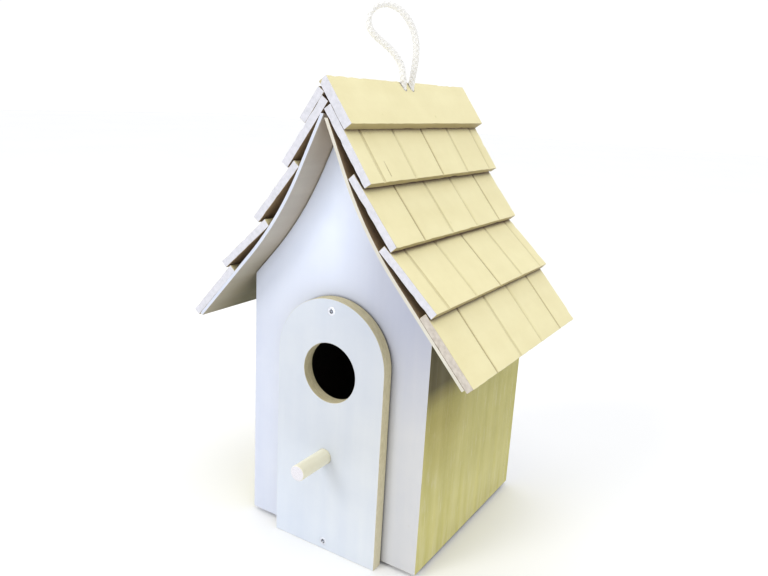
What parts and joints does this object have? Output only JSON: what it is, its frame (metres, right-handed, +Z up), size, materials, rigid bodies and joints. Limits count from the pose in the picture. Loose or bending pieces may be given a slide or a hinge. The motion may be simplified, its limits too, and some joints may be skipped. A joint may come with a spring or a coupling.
{
  "type": "birdhouse",
  "caption": "Gabled wooden birdhouse with a swooping shingled roof, arched clean-out plate with round entrance hole and perch, and a rope loop to hang it by.",
  "frame": {"origin": "centre of the house's underside, level with the bottom edges of the wall boards", "axes": "+Z up, +Y towards the back panel, -Y out of the front with its entrance hole, +X to the right seen from the front"},
  "size_m": [0.2011, 0.1788, 0.3407],
  "materials": {
    "white_paint": "satin white paint on thin board",
    "khaki_paint": "yellow-green wash brushed on wood, grain showing",
    "butter_paint": "matt butter-yellow paint on wood",
    "bare_wood": "bare pale wood",
    "zinc_steel": "zinc plated",
    "white_rope": "braided white cord"
  },
  "bodies": {
    "house": {"front_panel": "white_paint", "back_panel": "white_paint", "left_side": "khaki_paint", "right_side": "khaki_paint", "floor_board": "bare_wood", "roof_sheet_left": "white_paint", "roof_sheet_right": "white_paint", "shingle_left_1": "butter_paint", "shingle_left_2": "butter_paint", "shingle_left_3": "butter_paint", "shingle_left_4": "butter_paint", "shingle_right_1": "butter_paint", "shingle_right_2": "butter_paint", "shingle_right_3": "butter_paint", "shingle_right_4": "butter_paint", "ridge_cap_left": "butter_paint", "ridge_cap_right": "butter_paint", "wall_brads": "zinc_steel", "floor_brads": "zinc_steel", "roof_brads": "zinc_steel", "rope_loop": "white_rope", "rope_knots": "white_rope"},
    "cover": {"front_plate": "white_paint", "perch": "bare_wood", "plate_screws": "zinc_steel"}
  },
  "joints": [
    {"name": "cover_slide", "type": "slide", "parent": "house", "child": "cover", "axis": [0, -1, 0], "range_m": [0, 0.06]}
  ]
}
